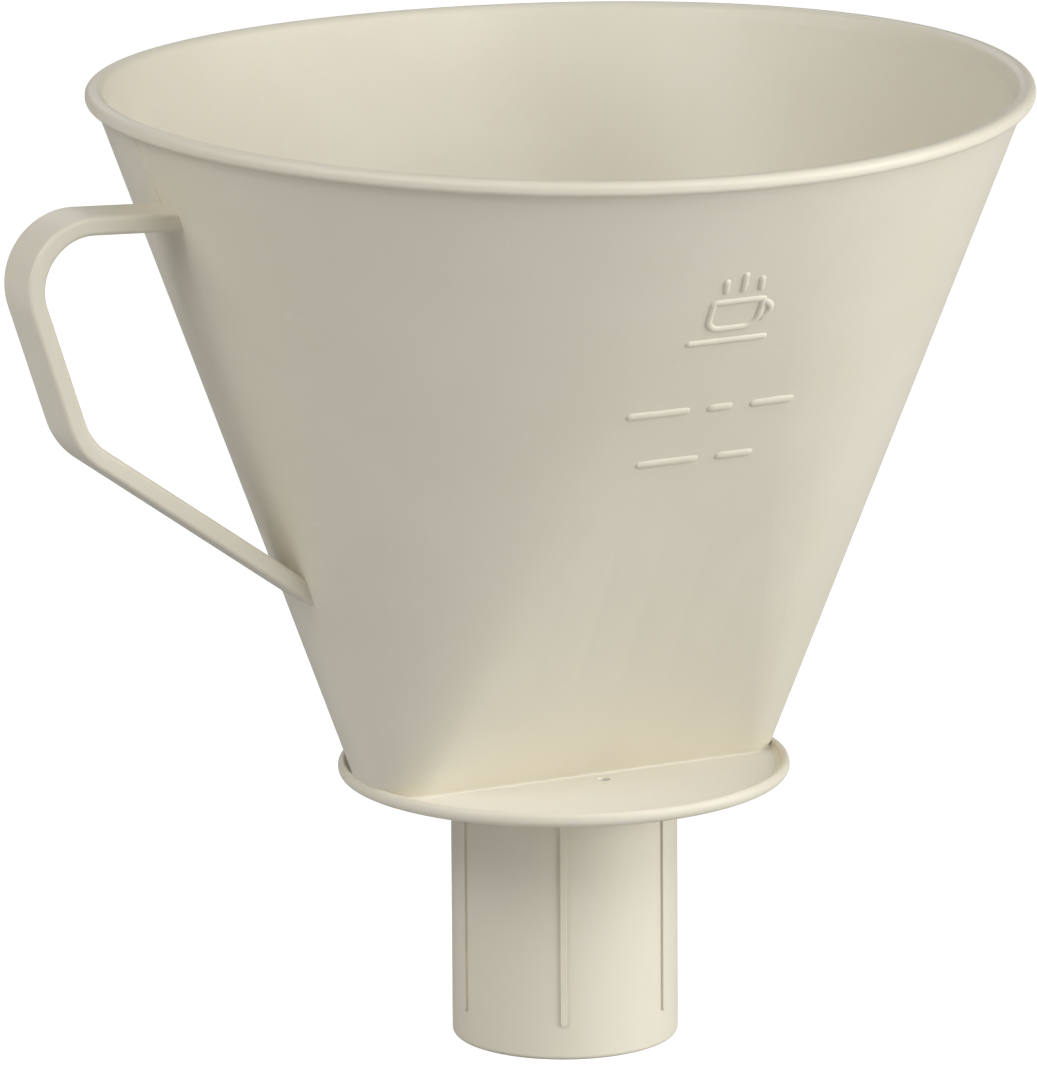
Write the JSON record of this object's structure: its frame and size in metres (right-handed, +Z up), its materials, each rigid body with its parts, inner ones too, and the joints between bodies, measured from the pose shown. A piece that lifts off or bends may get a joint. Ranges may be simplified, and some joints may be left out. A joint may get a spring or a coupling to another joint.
{
  "type": "pour over dripper",
  "caption": "Moulded plastic coffee filter holder: wedge-shaped funnel with round rim, strap handle, round collar and a long ribbed spout that drops into a flask's neck.",
  "frame": {"origin": "centre of the collar's underside, on the spout's axis", "axes": "+Z up along the spout's axis, handle towards -X, front face with the raised marks towards -Y"},
  "size_m": [0.1584, 0.14, 0.1454],
  "materials": {
    "cream_plastic": "satin moulded polypropylene, warm cream"
  },
  "bodies": {
    "root": {"funnel_wall": "cream_plastic", "rim_bead": "cream_plastic", "collar_plate": "cream_plastic", "collar_bead": "cream_plastic", "drip_plate": "cream_plastic", "spout_tube": "cream_plastic", "spout_fins": "cream_plastic", "filter_ribs_front": "cream_plastic", "filter_ribs_back": "cream_plastic", "handle_strap": "cream_plastic", "emblem_cup": "cream_plastic", "emblem_steam": "cream_plastic", "dashes_upper": "cream_plastic", "dashes_lower": "cream_plastic", "mould_line": "cream_plastic"}
  },
  "joints": []
}
